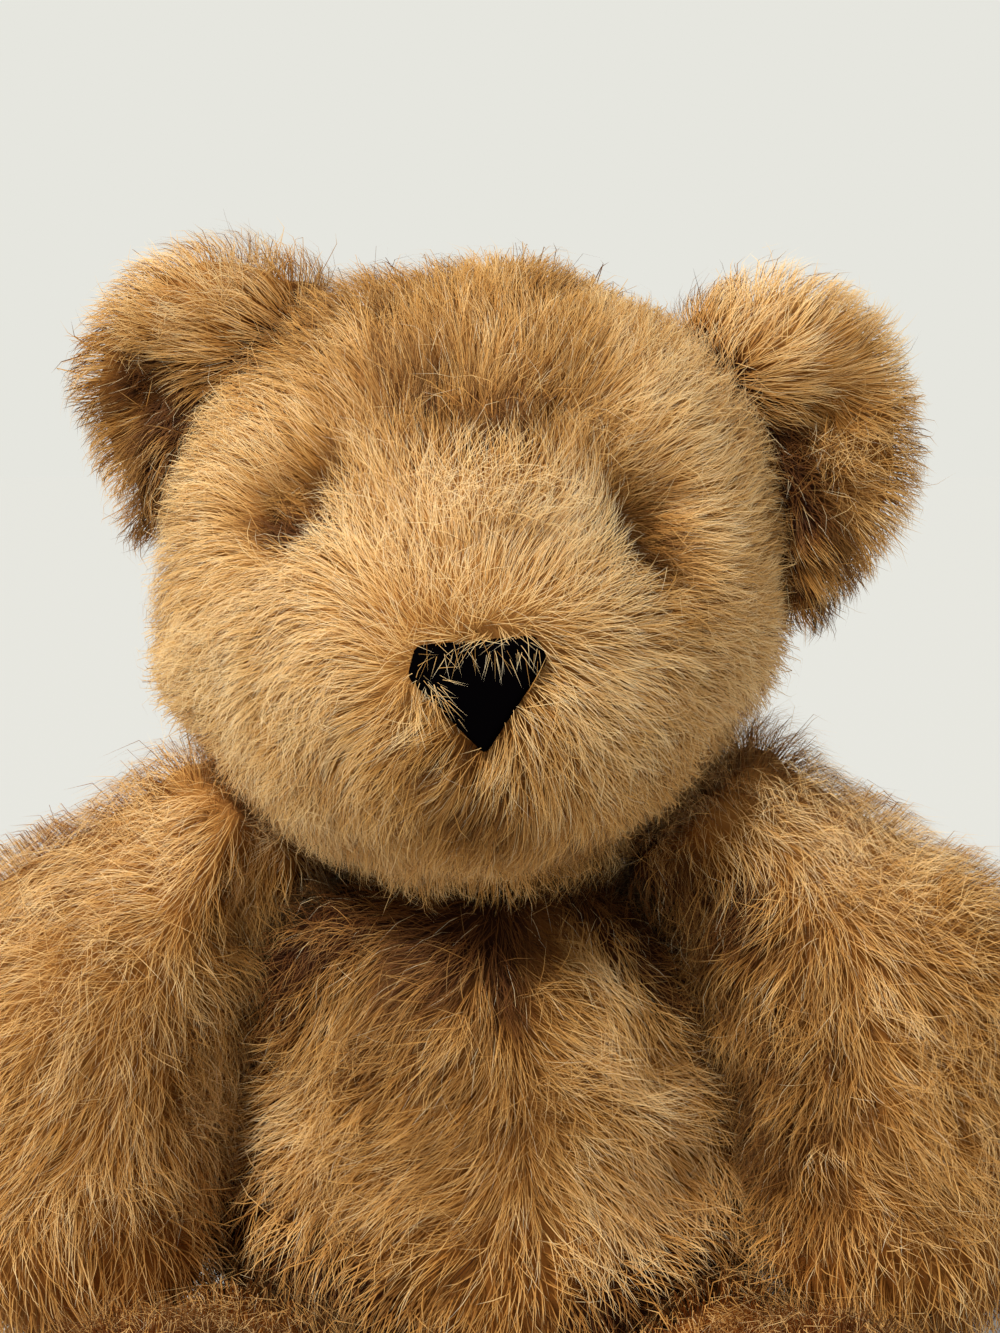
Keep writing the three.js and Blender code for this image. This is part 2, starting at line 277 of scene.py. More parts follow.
def hair_mesh(name, hairs, normals, tone, width, draw, cloth):
    """Hairs as fine blades, wide at the foot and drawn to a point, and the cloth that they stand on."""
    joints = hairs.shape[1]
    along = np.linspace(0, 1, joints)
    heading = unit((hairs[:, -1] - hairs[:, 0]))
    across = unit(np.cross(heading, normals))
    across = turned(across, heading, draw.normal(0, 0.3, len(hairs)))
    width = width * draw.uniform(0.8, 1.25, len(hairs))
    taper = (1 - along[:-1] ** 2.2) * 0.85 + 0.15
    left = hairs[:, :-1] - across[:, None] * (width[:, None] * taper[None, :] / 2)[:, :, None]
    right = hairs[:, :-1] + across[:, None] * (width[:, None] * taper[None, :] / 2)[:, :, None]
    rows = joints - 1
    each = 2 * rows + 1
    verts = np.empty((len(hairs), each, 3))
    verts[:, 0 : 2 * rows : 2] = left
    verts[:, 1 : 2 * rows : 2] = right
    verts[:, -1] = hairs[:, -1]

    # The cloth under the pile joins the same mesh.
    places, vertex_normals, cloth_corners, under = cloth
    used, cloth_faces = np.unique(cloth_corners, return_inverse=True)
    cloth_faces = cloth_faces.reshape(-1, 3)
    start = len(used)
    base = start + np.arange(len(hairs))[:, None] * each
    quads = []
    for row in range(rows - 1):
        quads.append(base + np.array([[2 * row, 2 * row + 1, 2 * row + 3, 2 * row + 2]]))
    quads = np.stack(quads, 1).reshape(-1, 4) if quads else np.empty((0, 4), int)
    tips = base + np.array([[2 * rows - 2, 2 * rows - 1, 2 * rows]])
    loops = np.concatenate([cloth_faces.ravel(), quads.ravel(), tips.ravel()])
    sizes = np.concatenate([np.full(len(cloth_faces), 3), np.full(len(quads), 4), np.full(len(tips), 3)])
    result = bpy.data.meshes.new(name)
    result.vertices.add(start + len(hairs) * each)
    result.vertices.foreach_set("co", np.concatenate([places[used], verts.reshape(-1, 3)]).ravel())
    result.loops.add(len(loops))
    result.loops.foreach_set("vertex_index", loops.astype(np.int32))
    result.polygons.add(len(sizes))
    result.polygons.foreach_set("loop_start", np.concatenate([[0], np.cumsum(sizes)[:-1]]).astype(np.int32))
    result.polygons.foreach_set("loop_total", sizes.astype(np.int32))
    slots = np.concatenate([np.zeros(len(cloth_faces)), np.ones(len(quads) + len(tips))])
    result.polygons.foreach_set("material_index", slots.astype(np.int32))
    result.polygons.foreach_set("use_smooth", np.ones(len(sizes), bool))
    result.update(calc_edges=True)

    # Light falls on the soft mass of the pile and not on each blade by itself.
    facing = np.empty((len(hairs), each, 3))
    facing[:] = unit(normals + 0.35 * unit(np.cross(across, heading)))[:, None]
    facing = np.concatenate([vertex_normals[used], facing.reshape(-1, 3)])
    side = 0.004
    u = np.repeat(tone[:, None], each, 1)
    u[:, 0 : 2 * rows : 2] -= side
    u[:, 1 : 2 * rows : 2] += side
    v = np.empty((len(hairs), each))
    v[:, 0 : 2 * rows : 2] = along[:-1]
    v[:, 1 : 2 * rows : 2] = along[:-1]
    v[:, -1] = 1
    place = np.empty((start + len(hairs) * each, 2))
    flat = (places[used] - places.min(0)) / max(np.ptp(places, axis=0).max(), 1e-6)
    place[:start, 0] = under[used] + flat[:, 0] * 0.01
    place[:start, 1] = (flat[:, 1] + flat[:, 2]) * 0.02
    place[start:, 0] = u.ravel()
    place[start:, 1] = v.ravel()
    result.normals_split_custom_set_from_vertices(facing)
    layer = result.uv_layers.new(name="OFBake")
    layer.uv.foreach_set("vector", place[loops].astype(np.float32).ravel())
    piece = bpy.data.objects.new(name, result)
    bpy.context.collection.objects.link(piece)
    return piece


def coat(name, form, faces, strokes, fall, density, pressed_and_shaded, style, seed, keep=None):
    """One panel: its cloth, and its pile as fine blades, in one mesh with a map of tone and length; the tone
    holds painted light and shade.
    """
    draw = np.random.default_rng(seed)
    mesh = form.data
    vertex_normals = numbers(mesh.vertex_normals, "vector")
    places = numbers(mesh.vertices, "co")
    corners, first, second, owner = sown(mesh, faces, density, draw)
    roots = on_mesh(places, corners, first, second)
    normals = unit(on_mesh(vertex_normals, corners, first, second))
    thinned = np.ones(len(roots), bool) if keep is None else keep(roots)
    order = np.flatnonzero(thinned)
    roots, normals, owner = roots[order], normals[order], owner[order]
    dense = density[owner]

    ways, lifts, tones_and_shading, shares = nap_at(roots, normals, strokes, fall)
    swirl = style["swirl"] * (0.6 * wander(roots, 0.05, seed) + 0.4 * wander(roots, 0.02, seed + 1))
    lifts = lifts * (1 + style["ruffle"] * wander(roots, 0.022, seed + 2))
    tones_and_shading = tones_and_shading + 0.08 * wander(roots, 0.03, seed + 3)
    lengths = style["length"] * (1 + 0.12 * wander(roots, 0.035, seed + 4)) * shares
    lengths *= 1 - 0.45 * np.clip(pressed_and_shaded[owner] * 2 - 1, 0, 1)
    # Painted shade: the pile is darker where it meets another part.
    tones_and_shading -= style["shade"] * pressed_and_shaded[owner]
    ways = turned(ways, normals, swirl)

    # Locks: each hair is drawn towards the line of the lock that it has matted into.
    chance = 1 / (dense * style["lock"] ** 2)
    leaders = np.flatnonzero(draw.random(len(roots)) < chance)
    if len(leaders) < 2:
        leaders = np.arange(min(2, len(roots)))
    lead_ways = turned(ways[leaders], normals[leaders], draw.normal(0, style["stray"] * 1.2, len(leaders)))
    lead_lift = lifts[leaders] * np.exp(draw.normal(0, 0.28, len(leaders)))
    lead_length = lengths[leaders] * np.exp(draw.normal(0, 0.14, len(leaders)))
    lead_tone = draw.normal(0, style["mottle"], len(leaders))
    tree = KDTree(len(leaders))
    for number, place in enumerate(roots[leaders].tolist()):
        tree.insert(place, number)
    tree.balance()
    lock = np.array([tree.find(place)[1] for place in roots.tolist()])
    joints = style["joints"]
    lines = hair_line(
        roots[leaders], normals[leaders], lead_ways, lead_length, lead_lift, style["round"], joints
    )

    frizz = draw.random(len(roots)) < style["frizz"]
    own_angle = draw.normal(0, style["stray"], len(roots)) * np.where(frizz, 3.5, 1) * lifts**3
    own_ways = turned(ways, normals, own_angle)
    own_lift = lifts * np.exp(draw.normal(0, 0.2, len(roots))) * np.where(frizz, 1.35, 1)
    own_length = lengths * np.exp(draw.normal(0, 0.12, len(roots))) * np.where(frizz, 1.12, 1)
    hairs = hair_line(roots, normals, own_ways, own_length, own_lift, style["round"], joints)
    pull = style["mat"] * np.where(frizz, 0.15, 1) * draw.uniform(0.55, 1.0, len(roots))
    pull /= np.maximum(1, lifts**2)
    along = np.linspace(0, 1, joints)
    draw_to = pull[:, None] * along[None, :] ** 0.9
    hairs += draw_to[:, :, None] * (lines[lock] - hairs)
    curl = draw.normal(0, 1, (len(roots), 1, 3)) * style["curl"] * (along[None, :, None] ** 1.5)
    hairs += curl
    hairs[:, :, 2] = np.maximum(hairs[:, :, 2], 0.0004)

    tone = np.clip(tones_and_shading + lead_tone[lock] + draw.normal(0, 0.06, len(roots)), 0.12, 0.88)
    dark = draw.random(len(roots)) < style["dark"]
    pale = draw.random(len(roots)) < style["pale"]
    tone = np.where(dark, 0.04, np.where(pale, 0.96, tone))
    width = style["width"] / np.sqrt(dense / 2e6) * np.where(dark | pale, 0.65, 1)

    cloth_faces = numbers(mesh.polygons, "vertices", 3, np.int32)[faces]
    # The cloth shows darker where parts meet: painted shade in the crevice, as well as the painted light and
    # shade of the strokes.
    crevice_shade = np.zeros(len(places))
    np.maximum.at(crevice_shade, cloth_faces, pressed_and_shaded[:, None])
    under = np.clip(nap_at(places, vertex_normals, strokes, fall)[2] - 0.8 * crevice_shade, 0.12, 0.88)
    cloth = places, vertex_normals, cloth_faces, under
    return hair_mesh(name, hairs, normals, tone, width, draw, cloth)


class Signal:
    """A value, colour or vector in a material."""

    def __init__(self, tree, socket):
        self.tree = tree
        self.socket = socket

    def node(self, kind, settings=(), output=0, **values):
        made = self.tree.nodes.new(kind)
        for name, value in dict(settings).items():
            if name == "stops":
                ramp = made.color_ramp.elements
                while len(ramp) < len(value):
                    ramp.new(0.5)
                for stop, (place, colour) in zip(ramp, value):
                    stop.position = place
                    stop.color = (*colour, 1)
            else:
                setattr(made, name, value)
        for name, value in values.items():
            key = int(name[1:]) if name[1:].isdigit() and name[0] == "i" else name.replace("_", " ")
            socket = made.inputs[key]
            if isinstance(value, Signal):
                self.tree.links.new(value.socket, socket)
            else:
                socket.default_value = value
        return Signal(self.tree, made.outputs[output])

    def between(self, low, high):
        """0 below low, 1 above high, and a straight rise between them."""
        return self.node("ShaderNodeMapRange", i0=self, i1=low, i2=high, i3=0.0, i4=1.0)

    def ramp(self, *stops):
        return self.node("ShaderNodeValToRGB", {"stops": stops}, Fac=self)

    def blend(self, first, second):
        """The first colour where this is 0 and the second where it is 1."""
        return self.node("ShaderNodeMix", {"data_type": "RGBA"}, output=2, i0=self, i6=first, i7=second)


def paint(code):
    """A colour written as it looks, such as c89a5c, in the numbers that a shader takes."""
    parts = [int(code[i : i + 2], 16) / 255 for i in (0, 2, 4)]
    return tuple(p / 12.92 if p <= 0.04045 else ((p + 0.055) / 1.055) ** 2.4 for p in parts)


def new_finish(name, roughness):
    finish = bpy.data.materials.new(name)
    finish.use_nodes = True
    shader = finish.node_tree.nodes["Principled BSDF"]
    shader.inputs["Roughness"].default_value = roughness
    shader.inputs["Specular IOR Level"].default_value = 0.12
    return finish, shader, Signal(finish.node_tree, None)


def pile_finish(name):
    finish, shader, start = new_finish(name, 0.62)
    shader.inputs["Sheen Weight"].default_value = 0.25
    shader.inputs["Sheen Tint"].default_value = (*paint("f0cf96"), 1)
    place = start.node("ShaderNodeUVMap", {"uv_map": "OFBake"})
    tone = start.node("ShaderNodeSeparateXYZ", i0=place)
    length = start.node("ShaderNodeSeparateXYZ", output=1, i0=place)
    # The deep ramp is the pile's darker colour and also painted shade, where strokes and crevices lower the
    # tone; the light ramp is the paler pile and also painted light.
    deep_and_shaded = length.ramp(
        (0.0, paint("2a1203")), (0.4, paint("4c2708")), (0.75, paint("6b3e14")), (1, paint("825526"))
    )
    usual = length.ramp(
        (0.0, paint("8f5a20")), (0.35, paint("b97c37")), (0.7, paint("d8a258")), (1, paint("ebc88c"))
    )
    light = length.ramp(
        (0.0, paint("bb8540")), (0.35, paint("e6b269")), (0.7, paint("fad699")), (1, paint("fff0cc"))
    )
    dark_hair = length.ramp((0.0, paint("8a5520")), (0.5, paint("6a4018")), (1, paint("1c0e06")))
    white_hair = length.ramp((0.0, paint("b98a50")), (0.5, paint("e4c692")), (1, paint("f6e8cc")))
    colour = tone.between(0.12, 0.5).blend(deep_and_shaded, usual)
    colour = tone.between(0.5, 0.88).blend(colour, light)
    colour = tone.between(0.09, 0.1).blend(dark_hair, colour)
    colour = tone.between(0.91, 0.92).blend(colour, white_hair)
    finish.node_tree.links.new(colour.socket, shader.inputs["Base Color"])
    return finish


def cloth_finish(name):
    finish, shader, start = new_finish(name, 0.95)
    tone = start.node("ShaderNodeSeparateXYZ", i0=start.node("ShaderNodeUVMap", {"uv_map": "OFBake"}))
    # The darkest cloth colour is painted shade in the crevices between parts.
    colour = tone.ramp((0.12, paint("2e1404")), (0.5, paint("8c5622")), (0.9, paint("b98546")))
    finish.node_tree.links.new(colour.socket, shader.inputs["Base Color"])
    return finish


backing_cloth = cloth_finish("backing cloth")
golden_pile = pile_finish("golden pile")
stuffing_fibre, fibre_shader, start = new_finish("stuffing fibre", 0.9)
place = start.node("ShaderNodeTexCoord", output=3)
wads = start.node("ShaderNodeTexNoise", Vector=place, Scale=220.0, Detail=4.0)
wads = wads.ramp((0.3, paint("cfcabd")), (0.7, paint("f2efe6")))
stuffing_fibre.node_tree.links.new(wads.socket, fibre_shader.inputs["Base Color"])


def head_at(across, back, up):
    """A place in the head by millimetres from its middle."""
    return np.array([across / 1000, head_middle_y + back / 1000, 0.232 + up / 1000])


def toward(degrees):
    """A way in the plane that the bear faces, turned from its left, seen from in front."""
    angle = math.radians(degrees)
    return np.array([math.cos(angle), 0, math.sin(angle)])


def brush(across, back, up, degrees, lift, tone, reach=17, force=1.0):
    """One stroke of the nap: where, which way, how high it stands, how pale, and how far it carries. How
    pale holds painted light and shade as well as the pile's own colour.
    """
    return head_at(across, back, up), toward(degrees), lift, tone, reach / 1000, force


def light_and_shade_spot(across, back, up, change, reach, length=1.0):
    """A spot where the pile is darker or paler than round it, and longer or shorter: darker is painted
    shade, paler is painted light.
    """
    return head_at(across, back, up), None, 0, change, reach / 1000, length


def showing(form, dense, sparse):
    """Hairs to a square metre on each face: most of them where the portrait sees the bear."""
    middles = numbers(form.data.polygons, "center")
    facing = numbers(form.data.polygons, "normal")
    to_camera = unit(np.array(camera.location) - middles)
    in_view = (middles[:, 2] > 0.085) & (np.abs(middles[:, 0] - aim.x) < 0.122)
    return np.where(((facing * to_camera).sum(1) > 0) & in_view, dense, sparse)


def touching(form, neighbours, depth, reach):
    """How near each corner of the cloth, out by its pile, is to another part: 1 against it, 0 well away."""
    out = numbers(form.data.vertices, "co") + numbers(form.data.vertices, "normal") * depth
    nearness = np.zeros(len(out))
    for node in neighbours:
        mesh = bpy.data.objects[node].data
        tree = BVHTree.FromPolygons([v.co for v in mesh.vertices], [p.vertices for p in mesh.polygons])
        low, high = part_box([node])
        for corner in np.flatnonzero(((out > low - reach) & (out < high + reach)).all(1)).tolist():
            gap = tree.find_nearest(out[corner])[3]
            nearness[corner] = max(nearness[corner], min(1, 1.3 - gap / reach))
    return nearness


def pushed(form, *pushes):
    """Pushes the cloth softly: at each place, by this many millimetres each way, over this reach."""
    points = numbers(form.data.vertices, "co")
    moved = points.copy()
    for place, move, reach in pushes:
        near = np.exp(-(((points - head_at(*place)) / (reach / 1000)) ** 2).sum(1))
        moved += near[:, None] * (np.array(move) / 1000)
    form.data.vertices.foreach_set("co", moved.ravel())
    form.data.update()


def pressed_out(form, neighbours, depth, further=-0.0015, shaded_by=None):
    """Where two parts press together the pile is flat, so there the cloth lies further out. It gives back
    how near each face lies to the parts given in shaded_by, which both flattens the pile and darkens it as
    painted shade in the crevice between the parts.
    """
    nearness = touching(form, neighbours, depth, 0.008)
    points = numbers(form.data.vertices, "co")
    points += numbers(form.data.vertices, "normal") * (nearness * (depth + further))[:, None]
    form.data.vertices.foreach_set("co", points.ravel())
    form.data.update()
    corners = numbers(form.data.polygons, "vertices", 3, np.int32)
    return touching(form, shaded_by or neighbours, 0.001, 0.0065)[corners].mean(1)


def dress(form, filling, panels, naps, fall, style, seed, density, pressed_and_shaded, keep=None, short=()):
    """Stuffs one form, then gives each of its panels its pile and the form its filling."""
    owner = nearest_panel(form, panels)
    stuff(form, owner, 0.0015)
    density = np.where(pressed_and_shaded > 0.35, np.maximum(density, 0.6e6), density)
    for number, panel in enumerate(panels):
        faces = np.flatnonzero(owner == number)
        look = dict(style, **plush) if panel in short else style
        if panel.startswith(("leg", "body_back")) or (panel.startswith("arm") and panel.endswith("outer")):
            look = dict(look, joints=3)
        here = np.full(len(faces), 1.6e6) if panel in short else density[faces]
        piece = coat(
            panel + "_fur", form, faces, naps, fall, here, pressed_and_shaded[faces], look, seed + number * 10, keep
        )
        piece.data.materials.append(backing_cloth)
        piece.data.materials.append(golden_pile)
        settle(piece, panel)
    form.data.materials.append(stuffing_fibre)
    bpy.ops.object.select_all(action="DESELECT")
    form.select_set(True)
    bpy.context.view_layer.objects.active = form
    for kind, name, value in (("DECIMATE", "ratio", 0.4), ("DISPLACE", "strength", -0.0018)):
        change = form.modifiers.new("filling", kind)
        setattr(change, name, value)
        if kind == "DISPLACE":
            change.mid_level = 0
        bpy.ops.object.modifier_apply(modifier=change.name)
    form.name = filling + "_fibre"
    settle(form, filling)


def settle(piece, node):
    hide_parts(node)
    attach(piece, "root")


plush = dict(length=0.0035, lock=0.002, mat=0.2, stray=0.5, frizz=0.0, joints=3, dark=0.0, pale=0.0)
head_panels = ["muzzle", "head_gusset", "head_side_left", "head_side_right"]
body_panels = ["body_front_left", "body_front_right", "body_back_left", "body_back_right"]
head_form = sewn_form("head_form", head_panels + ["head_stuffing"], 0.0038, pile_height)
# The nap of the head, and in its tones painted light and shade: painted shade in the eye hollows, in a band
# above the bridge of the muzzle, under the nose and along the jaw, and painted light on the top of the
# muzzle.
head_nap = [
    brush(-9, -80, -8, 262, 1.35, 0.7, 5, 4.0),
    brush(2, -80, -7, 272, 1.35, 0.75, 5, 4.0),
    brush(11, -80, -7, 280, 1.35, 0.75, 5, 4.0),
    brush(-15, -80, -19, 325, 1.2, 0.7, 5, 3.0),
    light_and_shade_spot(0, -80, -6, 0.05, 7, 0.75),
    light_and_shade_spot(-53, -44, 12, -0.5, 8, 0.7),
    light_and_shade_spot(-46, -47, 14, -0.95, 7, 0.45),
    light_and_shade_spot(-41, -48, 20, -0.95, 5.5, 0.4),
    light_and_shade_spot(-38, -48, 27, -0.4, 6, 0.8),
    light_and_shade_spot(-36, -44, 34, -0.12, 8),
    light_and_shade_spot(31, -50, 24, -0.45, 6, 0.7),
    light_and_shade_spot(33, -50, 16, -0.65, 5, 0.5),
    light_and_shade_spot(36, -50, 9, -0.75, 5.5, 0.5),
    light_and_shade_spot(39, -50, 1, -0.35, 6, 0.8),
    light_and_shade_spot(42, -50, -6, -0.2, 7),
    light_and_shade_spot(-21, -54, 31, -0.25, 6),
    light_and_shade_spot(-12, -52, 36, -0.32, 7),
    light_and_shade_spot(-3, -52, 37, -0.34, 7),
    light_and_shade_spot(6, -52, 37, -0.35, 7),
    light_and_shade_spot(15, -52, 37, -0.27, 6),
    light_and_shade_spot(24, -52, 32, -0.25, 5),
    light_and_shade_spot(-12, -47, 45, -0.2, 11),
    light_and_shade_spot(8, -47, 45, -0.2, 11),
    light_and_shade_spot(-3, -74, -38, -0.1, 4),
    light_and_shade_spot(-3, -72, -46, -0.06, 4),
    light_and_shade_spot(-3, -66, -59, -0.06, 4),
    light_and_shade_spot(0, -74, -42, -0.04, 20),
    light_and_shade_spot(-17, -70, -48, -0.1, 15),
    light_and_shade_spot(18, -68, -48, -0.1, 15),
    light_and_shade_spot(0, -60, -70, -0.1, 24),
    light_and_shade_spot(-3, -78, -36, -0.06, 10),
    light_and_shade_spot(-29, -58, 12, 0.15, 8),
    light_and_shade_spot(0, -64, 18, 0.12, 14),
    light_and_shade_spot(25, -59, 13, 0.22, 8),
    light_and_shade_spot(38, -62, -20, 0.12, 12),
    light_and_shade_spot(19, -78, -31, -0.25, 7),
    light_and_shade_spot(46, -50, -45, -0.3, 8),
    light_and_shade_spot(36, -46, -56, -0.28, 8),
    light_and_shade_spot(24, -48, -66, -0.22, 8),
    brush(-1, -76, -1, 95, 1.1, 0.72),
    brush(-1, -68, 13, 92, 1.35, 0.88),
    brush(-1, -62, 23, 90, 1.45, 0.95),
    brush(-18, -69, 7, 130, 1.1, 0.75),
    brush(-18, -62, 19, 115, 1.35, 0.9),
    brush(16, -69, 7, 55, 1.1, 0.7),
    brush(18, -61, 19, 65, 1.35, 0.88),
    brush(-29, -73, -10, 175, 1.0, 0.75, 12),
    brush(24, -73, -10, 5, 1.0, 0.65, 12),
    brush(-24, -76, -22, 200, 1.0, 0.75, 12),
    brush(-14, -78, -35, 240, 1.0, 0.62, 10),
    brush(16, -78, -22, 330, 1.0, 0.6, 12),
    brush(14, -76, -37, 300, 1.0, 0.6, 10),
    brush(-7, -75, -44, 262, 0.9, 0.5, 10),
    brush(6, -75, -44, 278, 0.9, 0.5, 10),
    brush(-10, -64, -57, 262, 0.9, 0.6),
    brush(10, -63, -58, 280, 0.9, 0.55),
    brush(-34, -68, -37, 225, 1.0, 0.72),
    brush(31, -69, -32, 320, 1.0, 0.68),
    brush(-52, -53, -4, 185, 1.0, 0.85),
    brush(-64, -41, -14, 200, 1.0, 0.85),
    brush(-57, -46, -32, 215, 1.0, 0.85),
    brush(-46, -48, -47, 240, 1.0, 0.7),
    brush(-34, -36, -63, 258, 1.0, 0.68),
    brush(-71, -28, 5, 180, 0.9, 0.85),
    brush(-58, -37, 21, 170, 1.0, 0.8),
    brush(-48, -39, 33, 165, 1.0, 0.6),
    brush(-42, -33, 46, 150, 1.0, 0.52),
    brush(-34, -15, 61, 120, 1.0, 0.42),
    brush(-43, -49, 17, 150, 0.5, 0.2, 6),
    brush(47, -54, -8, 355, 1.0, 0.6),
    brush(57, -40, 4, 10, 1.0, 0.62),
    brush(45, -47, 18, 20, 1.0, 0.7),
    brush(52, -49, -24, 330, 1.0, 0.82),
    brush(43, -53, -42, 310, 1.0, 0.66),
    brush(34, -36, -63, 282, 1.0, 0.55),
    brush(48, -38, 33, 35, 1.0, 0.88),
    brush(39, -33, 48, 60, 1.0, 0.85),
    brush(35, -50, 9, 300, 0.5, 0.15, 7),
    brush(-1, -57, 31, 85, 0.6, 0.42),
    brush(-17, -53, 34, 130, 0.9, 0.5),
    brush(16, -52, 37, 50, 0.8, 0.55),
    brush(-4, -45, 50, 80, 0.9, 0.5),
    brush(-15, -31, 61, 95, 1.0, 0.42),
    brush(12, -35, 59, 70, 1.0, 0.42),
]
head_fall = (0, 0.8, -0.5, 1.0, 0.5)
head_style = dict(
    length=0.0145,
    width=0.00015,
    lock=0.0026,
    mat=0.5,
    stray=0.29,
    swirl=0.38,
    ruffle=0.27,
    curl=0.0006,
    frizz=0.1,
    dark=0.05,
    pale=0.04,
    round=0.07,
    shade=0.3,
    mottle=0.12,
    joints=4,
)

nose_low, nose_high = part_box(["nose"])
nose_middle = (nose_low + nose_high) / 2


def clear_of_nose(roots):
    """Hair grows all round the nose and not under it. Its sides run down to the tip."""
    half = (nose_high[0] - nose_low[0]) / 2
    down = (nose_high[2] - roots[:, 2]) / (nose_high[2] - nose_low[2])
    inside = (np.abs(roots[:, 0] - nose_middle[0]) < half * (1.06 - down)) & (down > 0) & (down < 1)
    return ~(inside & (roots[:, 1] < nose_high[1] + 0.02))


pushed(
    head_form,
    ((-43, -44, 16), (0, 9, 0), 8),
    ((34, -45, 14), (0, 7, 0), 7),
    ((35, -46, 4), (0, 5, 0), 7),
    ((-1, -55, 19), (0, -5, 1), 15),
    ((-3, -49, 37), (0, 4.5, -2), 12),
    ((18, -48, 36), (0, 3, -1), 9),
    ((-20, -48, 35), (0, 3, -1), 9),
    ((-64, -18, 24), (-4, 0, 0), 18),
    ((-46, -40, 36), (0, -2, 0), 11),
    ((46, -40, 32), (0, -2, 0), 11),
    ((-44, 0, 50), (-3, 0, 5), 18),
    ((30, -30, -60), (-3, 0, 3), 20),
    ((-36, -30, -58), (-3, 0, -2), 20),
    ((54, -18, -42), (-5, 0, 0), 20),
)
head_pressed_and_shaded = pressed_out(head_form, body_panels, pile_height)
dress(
    head_form, "head_stuffing", head_panels, head_nap, head_fall, head_style, 100,
    showing(head_form, 1.85e6, 0.5e6), head_pressed_and_shaded, clear_of_nose,
)


# The nose: a stiff pad covered in black velvet, a triangle with blunt upper corners, sewn down into
# the pile of the muzzle.
bpy.ops.object.select_all(action="DESELECT")
bpy.ops.mesh.primitive_cylinder_add(vertices=5, radius=1, depth=1, rotation=(math.radians(90), 0, 0))
nose = bpy.context.object
nose.name = "nose_pad"
bpy.ops.object.transform_apply(rotation=True)
points = numbers(nose.data.vertices, "co")
points[:, ::2] = np.repeat([(0, -1), (1, 0.6), (0.86, 1), (-0.86, 1), (-1, 0.5)], 2, axis=0)
span = np.ptp(points, axis=0)
points *= (nose_high - nose_low + np.array([0.004, 0.003, 0.003])) / span
points = turned(points, np.array([[0.0, 1.0, 0.0]]), np.full(len(points), math.radians(-5)))
points += nose_middle - (points.max(0) + points.min(0)) / 2 + np.array([0, 0.0048, -0.0004])
nose.data.vertices.foreach_set("co", points.ravel())
nose.data.update()
bpy.ops.object.mode_set(mode="EDIT")
bpy.ops.mesh.select_all(action="SELECT")
bpy.ops.mesh.normals_make_consistent(inside=False)
bpy.ops.mesh.bevel(offset=0.0016, segments=4, affect="EDGES")
bpy.ops.object.mode_set(mode="OBJECT")
bpy.ops.object.shade_smooth()
nose_velvet, velvet_shader, start = new_finish("nose velvet", 0.95)
velvet_shader.inputs["Base Color"].default_value = (*paint("040304"), 1)
velvet_shader.inputs["Specular IOR Level"].default_value = 0.0
nose.data.materials.append(nose_velvet)
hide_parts("nose")
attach(nose, "root")

# Hairs of the muzzle that have fallen over the top and one side of the nose.
draw = np.random.default_rng(150)
count = 64
share = draw.random(count)
edge = share < 0.72
corner, other = nose_low[0] - 0.001, nose_high[0] + 0.001
on_side = corner + 0.012 * (share - 0.72) / 0.28 - 0.001
roots = np.stack(
    [
        np.where(edge, corner + (other - corner) * share / 0.72, on_side),
        np.full(count, nose_high[1] + 0.002),
        np.where(edge, nose_high[2] + 0.0005, nose_high[2] - 0.002 - 0.019 * (share - 0.72) / 0.28),
    ],
    1,
)
roots[:, 2] += draw.normal(0.0008, 0.0008, count) - 0.0016 * (share < 0.2)
heading = np.radians(np.where(edge, draw.normal(272, 30, count), draw.normal(328, 16, count)))
ways = np.stack([np.cos(heading), 0 * heading, np.sin(heading)], 1)
ahead = np.tile([0.0, -1.0, 0.0], (count, 1))
length = draw.uniform(0.004, 0.0125, count) * np.where(edge, 1, 0.8)
fallen = hair_line(roots, ahead, ways, length, draw.uniform(0.95, 1.3, count), 0.05, 5)
tone = draw.choice([0.4, 0.6, 0.7, 0.96], count)
no_cloth = np.zeros((1, 3)), np.zeros((1, 3)), np.zeros((0, 3), int), np.zeros(1)
fringe = hair_mesh("fringe", fallen, ahead, tone, 0.00009, draw, no_cloth)
fringe.data.materials.append(backing_cloth)
fringe.data.materials.append(golden_pile)
bpy.ops.object.select_all(action="DESELECT")
fringe.select_set(True)
bpy.data.objects["muzzle_fur"].select_set(True)
bpy.context.view_layer.objects.active = bpy.data.objects["muzzle_fur"]
bpy.ops.object.join()


# The ears: a front and a back of the same pile cloth, hardly filled. Their feet are gathered and
# sewn down into the seams of the head.
ear_depth = 0.003
